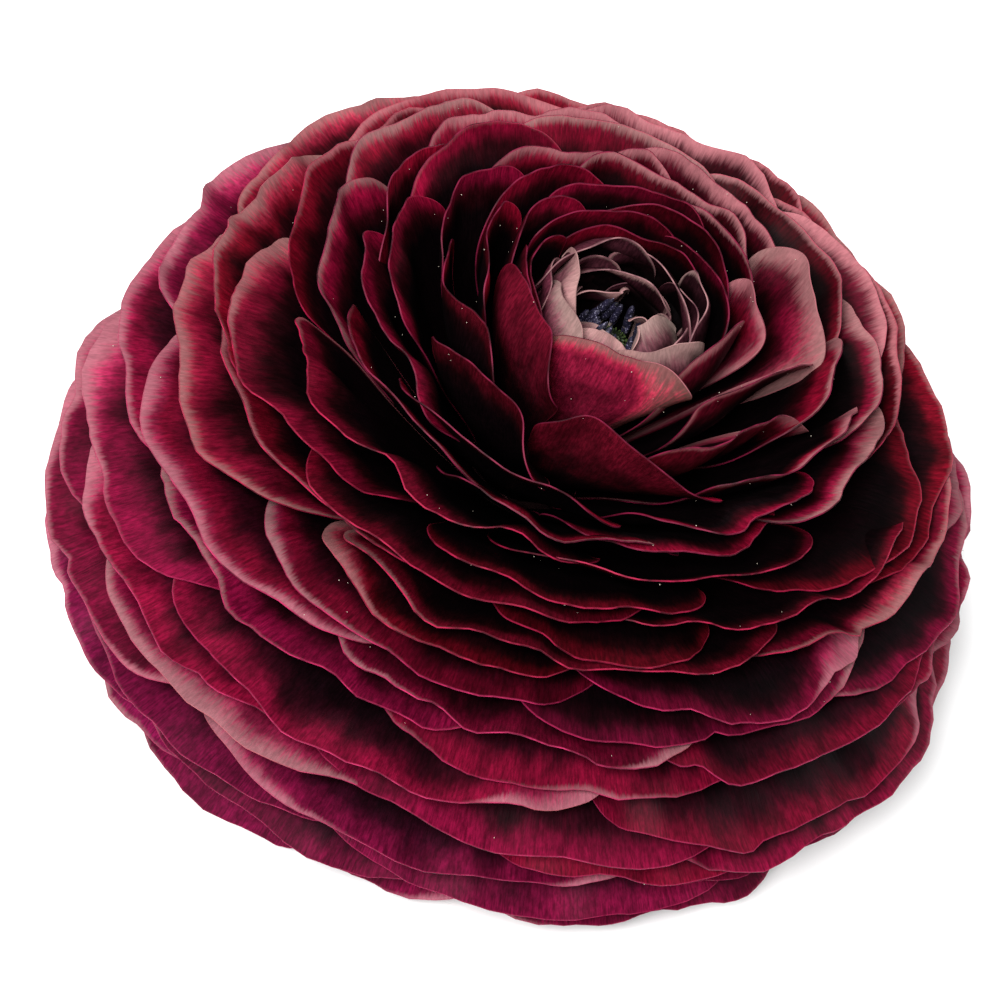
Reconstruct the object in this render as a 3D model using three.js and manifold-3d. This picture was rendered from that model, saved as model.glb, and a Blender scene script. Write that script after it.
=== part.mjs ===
// A ranunculus bloom, cut just under the head and resting on its lowest petals.
// Millimetres, +Z up. The stem's axis is vertical, and the side at -Y faces the viewer.
// Every petal lies on its own leaf of one nested family of cup-shaped surfaces, so petals
// of a higher rank always wrap round those of a lower rank and never cross them.
import * as THREE from "three";
import Module from "manifold-3d";

const wasm = await Module();
wasm.setup();

// Driving sizes of the bloom.
const BLOOM_HEIGHT = 46;
const BLOOM_RADIUS = 44.2;
const BLADE = 0.65;
const CLEARANCE = 0.3;

// Stations of the petal family, from the eye out to the drooping guard petals:
// rim radius, rim depth below the top, lean of the rim in degrees (90 is upright, 0 level),
// root radius, root height, lean at the root in degrees, half width of the petal.
const STATIONS = [
  [3.8, 6.4, 124, 4.5, 29.6, 86, 2.4],
  [6.6, 4.0, 112, 4.6, 28.2, 83, 3.6],
  [8.8, 1.2, 108, 4.7, 26.4, 79, 8.0],
  [11.8, 0.0, 102, 4.8, 23.8, 70, 10.8],
  [20.0, 1.2, 78, 5.0, 20.6, 57, 15.0],
  [28.0, 4.2, 54, 5.2, 18.2, 46, 19.5],
  [35.0, 9.0, 34, 5.4, 16.2, 36, 22.5],
  [40.0, 15.2, 16, 5.5, 14.4, 26, 24.0],
  [43.2, 23.0, 0, 5.6, 12.8, 15, 24.5],
  [44.2, 30.5, -16, 5.7, 11.4, 4, 24.5],
  [43.0, 37.5, -32, 5.8, 10.2, -5, 24.0],
  [40.5, 43.5, -46, 5.8, 9.2, -12, 23.0],
  [38.0, 47.0, -52, 5.8, 8.5, -14, 22.0],
];
const ARCH = 1.12; // how far a petal bows between root and rim

// Petals of the heart, which give the bloom its face and stand where they do on this one:
// station, azimuth and half width in degrees, tilt of the right side outwards, flare of the
// left and of the right margin in stations, and length.
const HEART = [
  [1.75, 95, 52, 0.0, 0.0, 0.0, 0.97],
  [1.9, 185, 44, 0.0, 0.0, 0.0, 0.98],
  [2.0, 279, 42, -0.05, 0.2, 1.5, 1.0],
  [2.1, 45, 46, 0.0, 0.0, 0.2, 0.98],
  [2.25, 118, 46, 0.0, 0.0, 0.0, 0.99],
  [2.4, 205, 34, 0.1, 0.0, 0.2, 0.98],
  [2.5, 343, 30, 0.15, 0.0, 0.2, 1.0],
  [2.55, 75, 50, 0.0, 0.0, 0.0, 1.0],
  [2.7, 160, 38, 0.0, 0.0, 0.0, 0.99],
  [2.8, 228, 36, 0.1, 0.0, 0.8, 1.0],
  [2.9, 22, 20, 0.0, 0.5, -0.3, 1.0],
  [2.95, 102, 46, 0.0, 0.0, 0.0, 1.0],
  [3.1, 187, 34, 0.0, 0.0, 0.15, 0.99],
  [3.15, 55, 40, 0.1, 0.0, 0.1, 1.0],
  [3.25, 140, 36, 0.0, 0.0, 0.0, 1.0],
  [3.4, 85, 42, 0.0, 0.0, 0.0, 1.0],
  [3.45, 346, 27, 0.35, 0.0, 0.4, 0.97],
  [3.55, 217, 35, 0.0, 0.0, 0.35, 1.0],
  [3.9, 290, 28, 0.7, 0.4, 0.15, 0.97],
  [3.65, 168, 32, 0.0, 0.0, 0.0, 1.0],
  [3.7, 118, 36, 0.0, 0.1, 0.0, 1.0],
  [3.8, 30, 22, 0.1, 0.4, -0.3, 1.02],
  [3.85, 326, 31, 0.05, 0.0, 0.8, 0.97],
  [3.93, 76, 32, 0.0, 0.0, 0.0, 1.0],
  [3.9, 248, 26, 0.05, 0.0, 0.9, 0.97],
  [3.95, 196, 32, 0.0, 0.0, 0.2, 1.0],
  [4.02, 148, 34, 0.0, 0.0, 0.0, 1.01],
  [4.08, 2, 26, 0.1, 0.0, 0.4, 1.0],
  [4.15, 102, 34, 0.05, 0.0, 0.0, 1.0],
  [4.22, 218, 32, 0.0, 0.0, 0.35, 1.0],
  [4.3, 172, 32, -0.05, 0.0, 0.1, 1.0],
  [4.36, 52, 33, 0.0, 0.1, 0.0, 1.0],
  [4.4, 342, 29, 0.15, 0.0, 0.3, 0.98],
  [4.45, 260, 32, 0.0, 0.0, 0.45, 0.98],
  [4.52, 126, 32, 0.05, 0.0, 0.0, 1.0],
  [4.58, 14, 28, 0.05, 0.0, 0.2, 1.0],
  [4.8, 303, 28, 0.0, 0.0, 0.1, 0.96],
  [4.66, 236, 31, 0.05, 0.0, 0.3, 0.98],
  [4.7, 84, 32, -0.05, 0.0, 0.0, 1.0],
  [4.75, 194, 31, 0.05, 0.0, 0.1, 1.0],
  [4.8, 346, 27, 0.0, 0.0, 0.2, 1.0],
  [4.82, 152, 30, -0.05, 0.0, 0.0, 1.0],
  [4.85, 40, 29, 0.0, 0.0, 0.1, 1.0],
  [4.88, 278, 28, 0.05, 0.0, 0.1, 0.98],
];

// Whorls, each a node: its first and last station, its full number of petals, and its facets
// across a petal. So that the blades stand clear, some petals are left out of these solids:
// one in so many of a whorl, and the listed ones of the heart.
const WHORLS = [
  { name: "eye_petals", first: 0.2, last: 1.1, petals: 11, omitEach: 4, across: 3 },
  { name: "heart_petals", first: 1.75, last: 4.88, petals: HEART.length, across: 5 },
  { name: "inner_petals", first: 5.18, last: 6.33, petals: 20, omitEach: 2, across: 5 },
  { name: "outer_petals", first: 6.63, last: 8.93, petals: 43, omitEach: 2, across: 5 },
  { name: "guard_petals", first: 9.23, last: 11.9, petals: 36, omitEach: 2, across: 5 },
];
const HEART_OMITTED = [1, 3, 7, 11, 14, 15, 19, 20, 23, 26, 28, 31, 34, 38];
const NEVER_OMITTED = 4; // the last petals of a whorl, which show from outside
const COLORS = {
  eye_petals: 0xa58084,
  heart_petals: 0x4a0816,
  inner_petals: 0x6a0a20,
  outer_petals: 0x8c1030,
  guard_petals: 0xa01a42,
  stem: 0x6f8a45,
  sepals: 0x7d9a4e,
  carpels: 0x5d7a3c,
  stamens: 0x1c1430,
};
const BLADE_ALONG = 2; // facets up a petal
const GOLDEN_ANGLE = THREE.MathUtils.degToRad(137.508);
const FIRST_AZIMUTH = THREE.MathUtils.degToRad(248);
const SEED = 7;

// Petal outline and liveliness, in stations of the family where not said otherwise.
const CLAW = 0.66; // width of the root against the full width
const RIM_ROUND = 0.2; // share of the length that the rounded rim takes
const ROUND_JITTER = 0.3;
const SKEW = 0.025; // one corner of the rim stands higher than the other
const AZIMUTH_JITTER = 0.16; // radians
const WIDTH_JITTER = 0.12; // share of the half width
const LENGTH_JITTER = 0.012;
const SIDE_TILT = 0.09; // one side lies further in than the other
const CUPPING = 0.07; // sides against the middle
const LEAN_JITTER = 0.05;
const WAVE = 0.03;
const WAVE_LENGTH = 15; // millimetres along the rim
const FLARE_START = 0.25; // share of the half width where a margin starts to turn outwards
const ROOM = 0.09; // how far a whorl's petals may stray beyond its first and last station

// The lopsided habit of this bloom: cosine and sine shares of its radius at the rim,
// a lean of the rim downwards to +X, and the eye standing off the stem's axis.
const SPREAD = { cos1: 0.07, sin1: -0.035, sin2: 0.045, sin3: -0.015 };
const SAG = { cos1: -2.8, sin1: 0.6 };
const SAG_FADES_BELOW = 14;
const EYE_SHIFT = { x: 4.5, y: 1.6 };

// How much of a petal is packed solid at its root, and where the blades start inside that.
const CORE_REACH = 0.52;
const ROOT_REACH = 0.44;
const CORE_MARGIN = 0.07;
const CORE_SIDES = 18;

// Stem stub and the receptacle that the petals grow from.
const CUT_HEIGHT = 1.0;
const STEM_RADIUS = 3.1;
const NECK_HEIGHT = 6.9;
const TIP_HEIGHT = 29.2;
const STEM_SIDES = 16;
const ROOT_CLEARANCE = 0.4; // between the receptacle and the petals' packed roots

// Five sepals on a ring round the top of the stem.
const SEPALS = {
  count: 5,
  ringWidth: 1.3,
  ringThickness: 0.8,
  ringSides: 20,
  height: 5.9,
  reach: 14,
  droop: 1.2,
  halfWidth: 3.6,
  thickness: 0.7,
};

// The organs in the eye: a head of carpels, and stamens standing on a collar round it.
const CARPELS = { radius: 2.4, height: 8.6, sides: 16, rings: 9, relief: 0.22 };
const STAMENS = {
  count: 16,
  collarInner: 2.7,
  collarOuter: 4.0,
  collarHeight: 1.1,
  collarSides: 20,
  sunk: 0.4, // how far above the collar's foot a filament starts
  top: 40.2,
  lean: 1.3,
  sides: 4,
  sections: [[0, 0.3], [0.68, 0.28], [0.76, 0.46], [0.95, 0.4], [1, 0.12]],
};

// One repeatable draw between -1 and 1 for each petal and purpose.
function draw(rank, purpose) {
  let a = (rank * 64 + purpose + SEED * 65536) | 0;
  a = (a + 0x6d2b79f5) | 0;
  let t = Math.imul(a ^ (a >>> 15), 1 | a);
  t = (t + Math.imul(t ^ (t >>> 7), 61 | t)) ^ t;
  return (((t ^ (t >>> 14)) >>> 0) / 4294967296) * 2 - 1;
}

function smooth(x) {
  const c = Math.min(Math.max(x, 0), 1);
  return c * c * (3 - 2 * c);
}

// The station at a fractional place along the list, on a smooth curve through it.
function station(u) {
  const last = STATIONS.length - 1;
  const v = Math.min(Math.max(u, 0), last - 1e-9);
  const k = Math.floor(v);
  const f = v - k;
  const p = [Math.max(k - 1, 0), k, k + 1, Math.min(k + 2, last)].map((n) => STATIONS[n]);
  return p[1].map((from, c) => {
    const to = p[2][c];
    const start = (to - p[0][c]) / 2;
    const end = (p[3][c] - from) / 2;
    const g = 1 - f;
    return (
      (1 + 2 * f) * g * g * from + f * g * g * start + f * f * (3 - 2 * f) * to - f * f * g * end
    );
  });
}

// Radius and height on leaf u at share t of the way from root to rim.
function leaf(u, t) {
  const [rimRadius, drop, rimLean, rootRadius, rootHeight, rootLean] = station(u);
  const rimHeight = BLOOM_HEIGHT - drop;
  const bow = ARCH * Math.hypot(rimRadius - rootRadius, rimHeight - rootHeight);
  const a = THREE.MathUtils.degToRad(rootLean);
  const b = THREE.MathUtils.degToRad(rimLean);
  const s = 1 - t;
  const root = (1 + 2 * t) * s * s;
  const rim = t * t * (3 - 2 * t);
  const out = bow * t * s * s;
  const back = -bow * t * t * s;
  return [
    root * rootRadius + rim * rimRadius + out * Math.cos(a) + back * Math.cos(b),
    root * rootHeight + rim * rimHeight + out * Math.sin(a) + back * Math.sin(b),
  ];
}

// Bends the round, even bloom into its lopsided habit.
function habit(r, azimuth, z) {
  const share = (r / BLOOM_RADIUS) ** 2;
  const spread =
    1 +
    share *
      (SPREAD.cos1 * Math.cos(azimuth) +
        SPREAD.sin1 * Math.sin(azimuth) +
        SPREAD.sin2 * Math.sin(2 * azimuth) +
        SPREAD.sin3 * Math.sin(3 * azimuth));
  const rise = smooth((z - 8) / (BLOOM_HEIGHT - 8));
  const inward = rise * Math.max(0, 1 - r / BLOOM_RADIUS);
  const sag = share * smooth(z / SAG_FADES_BELOW);
  return new THREE.Vector3(
    r * spread * Math.cos(azimuth) + EYE_SHIFT.x * inward,
    r * spread * Math.sin(azimuth) + EYE_SHIFT.y * inward,
    z + sag * (SAG.cos1 * Math.cos(azimuth) + SAG.sin1 * Math.sin(azimuth)),
  );
}

// All petals in order of rank, each with its leaf, azimuth, width and turned margins.
function listPetals() {
  const petals = [];
  for (const whorl of WHORLS) {
    for (let n = 0; n < whorl.petals; n += 1) {
      const rank = petals.length;
      if (whorl.name === "heart_petals") {
        const [u, azimuth, half, tilt, left, right, length] = HEART[n];
        petals.push({
          whorl,
          rank,
          u,
          omitted: HEART_OMITTED.includes(n),
          azimuth: THREE.MathUtils.degToRad(azimuth),
          halfAngle: THREE.MathUtils.degToRad(half),
          tilt,
          left,
          right,
          length,
        });
        continue;
      }
      const u = whorl.first + ((whorl.last - whorl.first) * n) / (whorl.petals - 1);
      petals.push({
        whorl,
        rank,
        u,
        omitted: (n + 1) % whorl.omitEach === 0 && n < whorl.petals - NEVER_OMITTED,
        azimuth: FIRST_AZIMUTH + rank * GOLDEN_ANGLE + AZIMUTH_JITTER * draw(rank, 0),
        halfAngle: ((1 + WIDTH_JITTER * draw(rank, 1)) * station(u)[6]) / station(u)[0],
        tilt: SIDE_TILT * draw(rank, 3),
        left: 0,
        right: 0,
        length: 1 + LENGTH_JITTER * (draw(rank, 7) - 1),
      });
    }
  }
  return petals;
}

// How far up its leaf a petal reaches at this side of its middle.
function rimReach(petal, side) {
  const rounding = RIM_ROUND * (1 + ROUND_JITTER * draw(petal.rank, 6));
  const flat = Math.sqrt(Math.max(0, 1 - Math.abs(side) ** 3));
  return petal.length * (1 - rounding * (1 - flat) + SKEW * side * draw(petal.rank, 8) * flat);
}

// Eases a shift towards the outermost or innermost leaf that the whorl may use.
function eased(petal, shift) {
  const { first, last } = petal.whorl;
  const room = shift > 0 ? last + ROOM - petal.u : petal.u - first + ROOM;
  return room * Math.tanh(shift / room);
}

// A point of a petal's middle surface: side runs from -1 to 1 across it, t from root to rim.
function petalPoint(petal, side, t) {
  const { rank, tilt, left, right } = petal;
  const spreadAngle = petal.halfAngle * (CLAW + (1 - CLAW) * smooth(t / 0.7));
  const azimuth = petal.azimuth + side * spreadAngle;
  const rimLength = side * petal.halfAngle * station(petal.u)[0];
  const wave = Math.sin((2 * Math.PI * rimLength) / WAVE_LENGTH + Math.PI * draw(rank, 2));
  const turned =
    right * smooth((side - FLARE_START) / (1 - FLARE_START)) ** 2 +
    left * smooth((-side - FLARE_START) / (1 - FLARE_START)) ** 2;
  const shift =
    t * t *
      (tilt * side +
        turned * smooth((t - 0.3) / 0.6) +
        CUPPING * (side * side - 0.35) * draw(rank, 4) +
        LEAN_JITTER * draw(rank, 5)) +
    WAVE * wave * smooth((t - 0.5) / 0.5);
  const [r, z] = leaf(petal.u + eased(petal, shift), t);
  return habit(r, azimuth, z);
}

// Closes a grid of points, thickened both ways along its normals, into one solid blade.
function bladeSolid(point, across, along, thickness) {
  const nudge = 1e-3;
  const faces = [[], []];
  for (let j = 0; j <= along; j += 1) {
    for (let i = 0; i <= across; i += 1) {
      const s = i / across;
      const l = j / along;
      const ds = s > 0.5 ? -nudge : nudge;
      const dl = l > 0.5 ? -nudge : nudge;
      const middle = point(s, l);
      const alongS = point(s + ds, l).sub(middle).divideScalar(ds);
      const alongL = point(s, l + dl).sub(middle).divideScalar(dl);
      const normal = alongS.cross(alongL).normalize().multiplyScalar(thickness / 2);
      faces[0].push(middle.clone().add(normal));
      faces[1].push(middle.clone().sub(normal));
    }
  }
  const row = across + 1;
  const back = faces[0].length;
  const triangles = [];
  for (let j = 0; j < along; j += 1) {
    for (let i = 0; i < across; i += 1) {
      const a = j * row + i;
      const quad = [a, a + 1, a + row + 1, a + row];
      triangles.push(quad[0], quad[1], quad[2], quad[0], quad[2], quad[3]);
      const under = quad.map((v) => v + back);
      triangles.push(under[0], under[2], under[1], under[0], under[3], under[2]);
    }
  }
  const rim = [];
  for (let i = 0; i < across; i += 1) rim.push(i);
  for (let j = 0; j < along; j += 1) rim.push(j * row + across);
  for (let i = across; i > 0; i -= 1) rim.push(along * row + i);
  for (let j = along; j > 0; j -= 1) rim.push(j * row);
  rim.forEach((a, n) => {
    const b = rim[(n + 1) % rim.length];
    triangles.push(a, a + back, b, b, a + back, b + back);
  });
  return solidFrom([...faces[0], ...faces[1]], triangles);
}

// A solid from its points and triangles, turned to face outwards.
function solidFrom(points, triangles) {
  const made = new wasm.Manifold(
    new wasm.Mesh({
      numProp: 3,
      vertProperties: new Float32Array(points.flatMap((p) => p.toArray())),
      triVerts: new Uint32Array(triangles),
    }),
  );
  if (made.volume() > 0) return made;
  const turned = triangles.map((v, n) => triangles[n - (n % 3) + (2 - (n % 3))]);
  return solidFrom(points, turned);
}

// One petal as a blade, split more closely towards its sides, where the rim is rounded.
function petalSolid(petal) {
  const point = (s, l) => {
    const side = Math.sin((s - 0.5) * Math.PI);
    return petalPoint(petal, side, ROOT_REACH + (rimReach(petal, side) - ROOT_REACH) * l);
  };
  return bladeSolid(point, petal.whorl.across, BLADE_ALONG, BLADE);
}

// A solid turned round the bloom's axis from a closed outline of radius and height, anticlockwise.
function turnedSolid(outline, segments, place) {
  const points = [];
  const triangles = [];
  for (let k = 0; k < segments; k += 1) {
    const azimuth = (2 * Math.PI * k) / segments;
    for (const [r, z] of outline) points.push(place(r, azimuth, z));
    for (let n = 0; n < outline.length; n += 1) {
      const a = k * outline.length + n;
      const b = k * outline.length + ((n + 1) % outline.length);
      const c = ((k + 1) % segments) * outline.length + n;
      const d = ((k + 1) % segments) * outline.length + ((n + 1) % outline.length);
      triangles.push(a, c, b, b, c, d);
    }
  }
  return solidFrom(points, triangles);
}

// The packed lower part of a whorl, a cup between its first and its last leaf.
function coreSolid(whorl) {
  const steps = 4;
  const outline = [];
  for (let n = 0; n <= steps; n += 1) {
    outline.push(leaf(whorl.last + CORE_MARGIN, (CORE_REACH * n) / steps));
  }
  for (let n = steps; n >= 0; n -= 1) {
    outline.push(leaf(whorl.first - CORE_MARGIN, (CORE_REACH * n) / steps));
  }
  return turnedSolid(outline, CORE_SIDES, habit);
}

// A lathe of a profile that starts and ends on the axis, leaning with the bloom.
function latheSolid(profile, segments) {
  const points = [habit(0, 0, profile[0][1])];
  const triangles = [];
  const inner = profile.slice(1, -1);
  for (let k = 0; k < segments; k += 1) {
    const azimuth = (2 * Math.PI * k) / segments;
    for (const [r, z] of inner) points.push(habit(r, azimuth, z));
  }
  points.push(habit(0, 0, profile[profile.length - 1][1]));
  const top = points.length - 1;
  for (let k = 0; k < segments; k += 1) {
    const here = 1 + k * inner.length;
    const next = 1 + ((k + 1) % segments) * inner.length;
    triangles.push(0, next, here);
    for (let n = 0; n < inner.length - 1; n += 1) {
      triangles.push(here + n, next + n, here + n + 1, here + n + 1, next + n, next + n + 1);
    }
    triangles.push(here + inner.length - 1, next + inner.length - 1, top);
  }
  return solidFrom(points, triangles);
}

function meshFrom(name, solid, roughness) {
  const made = solid.getMesh();
  const geometry = new THREE.BufferGeometry();
  geometry.setAttribute("position", new THREE.BufferAttribute(made.vertProperties, 3));
  geometry.setIndex(new THREE.BufferAttribute(made.triVerts, 1));
  const color = COLORS[name];
  const material = new THREE.MeshStandardMaterial({ color, roughness, metalness: 0 });
  const mesh = new THREE.Mesh(geometry, material);
  mesh.name = name;
  return mesh;
}

// The largest body of a union: hollows that the petals seal are filled, loose scraps dropped.
function outerBody(solid) {
  return solid.decompose().reduce((best, body) => (body.volume() > best.volume() ? body : best));
}

// Everything below the surface that the bloom rests on.
function belowSurface() {
  const side = 8 * BLOOM_RADIUS;
  const box = new THREE.BoxGeometry(side, side, side);
  box.translate(0, 0, -side / 2);
  const corners = box.getAttribute("position");
  const seen = new Map();
  const points = [];
  const shared = [];
  for (let n = 0; n < corners.count; n += 1) {
    const corner = new THREE.Vector3().fromBufferAttribute(corners, n);
    const key = corner.toArray().join();
    if (!seen.has(key)) {
      seen.set(key, points.length);
      points.push(corner);
    }
    shared.push(seen.get(key));
  }
  return solidFrom(points, Array.from(box.index.array, (v) => shared[v]));
}

// The cut stub, its neck, and the receptacle as a tapering column inside the petals' roots.
function stemSolid() {
  const profile = [[0, CUT_HEIGHT], [STEM_RADIUS, CUT_HEIGHT], [STEM_RADIUS, NECK_HEIGHT]];
  for (let u = STATIONS.length - 1; u >= 0; u -= 1) {
    const [, , , rootRadius, rootHeight] = STATIONS[u];
    profile.push([rootRadius - ROOT_CLEARANCE, rootHeight]);
  }
  profile.push([STATIONS[0][3] - 2 * CLEARANCE, TIP_HEIGHT], [0, TIP_HEIGHT]);
  return latheSolid(profile, STEM_SIDES);
}

// A ring round the stem with five small blades that spread under the petals.
function sepalsSolid() {
  const inner = STEM_RADIUS + CLEARANCE;
  const outer = inner + SEPALS.ringWidth;
  const low = SEPALS.height - SEPALS.ringThickness / 2;
  const high = SEPALS.height + SEPALS.ringThickness / 2;
  const outline = [[inner, low], [outer, low], [outer, high], [inner, high]];
  const ring = turnedSolid(outline, SEPALS.ringSides, habit);
  const blades = [];
  const root = inner + SEPALS.ringWidth / 2;
  for (let n = 0; n < SEPALS.count; n += 1) {
    const middle = (2 * Math.PI * n) / SEPALS.count;
    const point = (s, l) => {
      const out = 0.02 + 0.98 * l;
      const width = SEPALS.halfWidth * Math.sin(Math.PI * (0.18 + 0.76 * out)) * (s * 2 - 1);
      const r = root + (SEPALS.reach - root) * out;
      const rise = 0.5 * (s * 2 - 1) ** 2 * out;
      const z = SEPALS.height + rise - SEPALS.droop * out * out;
      return habit(Math.hypot(r, width), middle + Math.atan2(width, r), z);
    };
    blades.push(bladeSolid(point, 4, 3, SEPALS.thickness));
  }
  return outerBody(wasm.Manifold.union([ring, ...blades]));
}

// The head of carpels: an egg whose surface is raised in small rounded beaks.
function carpelsSolid() {
  const { radius, height, sides, rings, relief } = CARPELS;
  const foot = TIP_HEIGHT + CLEARANCE;
  const points = [habit(0, 0, foot)];
  const triangles = [];
  for (let j = 1; j < rings; j += 1) {
    const polar = (Math.PI * j) / rings;
    for (let k = 0; k < sides; k += 1) {
      const bump = (j + k) % 2 === 0 ? relief : -relief;
      const out = (radius + bump) * Math.sin(polar) ** 0.7;
      const z = foot + (height * (1 - Math.cos(polar))) / 2;
      points.push(habit(out, (2 * Math.PI * k) / sides, z));
    }
  }
  points.push(habit(0, 0, foot + height));
  for (let k = 0; k < sides; k += 1) {
    const next = (k + 1) % sides;
    triangles.push(0, 1 + next, 1 + k);
    for (let j = 0; j < rings - 2; j += 1) {
      const a = 1 + j * sides;
      triangles.push(a + k, a + next, a + sides + k, a + sides + k, a + next, a + sides + next);
    }
    const crown = 1 + (rings - 2) * sides;
    triangles.push(crown + k, crown + next, points.length - 1);
  }
  return solidFrom(points, triangles);
}

// A stamen: a thin filament that ends in a longer, thicker anther.
function stamenSolid(number) {
  const { count, collarInner, collarOuter, sunk, top, lean, sides, sections } = STAMENS;
  const foot = TIP_HEIGHT + CLEARANCE + sunk;
  const azimuth = (2 * Math.PI * (number + 0.2 * draw(number, 40))) / count;
  const tip = top + 0.8 * draw(number, 41);
  const start = (collarInner + collarOuter) / 2;
  const bend = lean + 0.2 * draw(number, 42);
  const points = [];
  const triangles = [];
  for (const [share, thick] of sections) {
    const r = start - bend * share ** 3;
    for (let k = 0; k < sides; k += 1) {
      const turn = (2 * Math.PI * k) / sides;
      const out = r + thick * Math.cos(turn);
      const aside = thick * Math.sin(turn);
      const z = foot + (tip - foot) * share;
      points.push(habit(Math.hypot(out, aside), azimuth + Math.atan2(aside, out), z));
    }
  }
  const last = (sections.length - 1) * sides;
  for (let n = 0; n < last; n += sides) {
    for (let k = 0; k < sides; k += 1) {
      const next = (k + 1) % sides;
      triangles.push(n + k, n + next, n + sides + k, n + sides + k, n + next, n + sides + next);
    }
  }
  triangles.push(0, 2, 1, 0, 3, 2, last, last + 1, last + 2, last, last + 2, last + 3);
  return solidFrom(points, triangles);
}

function stamensSolid() {
  const { count, collarInner, collarOuter, collarHeight, collarSides } = STAMENS;
  const low = TIP_HEIGHT + CLEARANCE;
  const high = low + collarHeight;
  const outline = [[collarInner, low], [collarOuter, low], [collarOuter, high], [collarInner, high]];
  const collar = turnedSolid(outline, collarSides, habit);
  const stamens = Array.from({ length: count }, (_, n) => stamenSolid(n));
  return outerBody(wasm.Manifold.union([collar, ...stamens]));
}

const group = new THREE.Group();
const petals = listPetals();
for (const whorl of WHORLS) {
  const kept = petals.filter((petal) => petal.whorl === whorl && !petal.omitted);
  const blades = kept.map(petalSolid);
  const fused = wasm.Manifold.union([coreSolid(whorl), ...blades]);
  const solid = outerBody(fused.subtract(belowSurface()));
  group.add(meshFrom(whorl.name, solid, 0.6));
}
group.add(meshFrom("stem", stemSolid(), 0.6));
group.add(meshFrom("sepals", sepalsSolid(), 0.65));
group.add(meshFrom("carpels", carpelsSolid(), 0.55));
group.add(meshFrom("stamens", stamensSolid(), 0.5));

// The origin lies in the middle of the bloom's box, on the surface that it rests on.
const box = new THREE.Box3().setFromObject(group);
const middle = box.getCenter(new THREE.Vector3());
group.position.set(-middle.x, -middle.y, -box.min.z);

export default group;
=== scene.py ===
import math

import bmesh
import bpy
import numpy as np
from mathutils import Matrix, Vector


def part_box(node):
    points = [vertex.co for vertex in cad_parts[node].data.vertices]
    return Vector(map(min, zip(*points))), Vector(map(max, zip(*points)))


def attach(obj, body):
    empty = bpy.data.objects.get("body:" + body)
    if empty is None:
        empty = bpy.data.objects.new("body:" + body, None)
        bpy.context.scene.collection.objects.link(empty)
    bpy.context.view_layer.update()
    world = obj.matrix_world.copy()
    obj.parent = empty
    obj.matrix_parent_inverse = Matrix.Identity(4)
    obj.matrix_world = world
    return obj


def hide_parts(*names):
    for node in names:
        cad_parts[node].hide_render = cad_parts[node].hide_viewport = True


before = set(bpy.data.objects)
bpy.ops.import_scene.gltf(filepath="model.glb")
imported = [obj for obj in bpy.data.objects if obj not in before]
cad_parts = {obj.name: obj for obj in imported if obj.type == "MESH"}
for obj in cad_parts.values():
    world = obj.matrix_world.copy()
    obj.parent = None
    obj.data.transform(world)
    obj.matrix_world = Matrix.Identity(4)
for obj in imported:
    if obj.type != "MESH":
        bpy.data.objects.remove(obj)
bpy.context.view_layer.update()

MM = 0.001

# The bloom's family of nested leaves, in millimetres and degrees, from the eye out to the
# drooping guard petals: rim radius, depth of the rim below the top, lean of the rim,
# root radius, root height, lean at the root, half width of the petal.
BLOOM_HEIGHT = 46.0
BLOOM_RADIUS = 44.2
STATIONS = np.array([
    (3.8, 6.4, 124, 4.5, 29.6, 86, 2.4),
    (6.6, 4.0, 112, 4.6, 28.2, 83, 3.6),
    (8.8, 1.2, 108, 4.7, 26.4, 79, 8.0),
    (11.8, 0.0, 102, 4.8, 23.8, 70, 10.8),
    (20.0, 1.2, 78, 5.0, 20.6, 57, 15.0),
    (28.0, 4.2, 54, 5.2, 18.2, 46, 19.5),
    (35.0, 9.0, 34, 5.4, 16.2, 36, 22.5),
    (40.0, 15.2, 16, 5.5, 14.4, 26, 24.0),
    (43.2, 23.0, 0, 5.6, 12.8, 15, 24.5),
    (44.2, 30.5, -16, 5.7, 11.4, 4, 24.5),
    (43.0, 37.5, -32, 5.8, 10.2, -5, 24.0),
    (40.5, 43.5, -46, 5.8, 9.2, -12, 23.0),
    (38.0, 47.0, -52, 5.8, 8.5, -14, 22.0),
], dtype=float)
ARCH = 1.12

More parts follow.
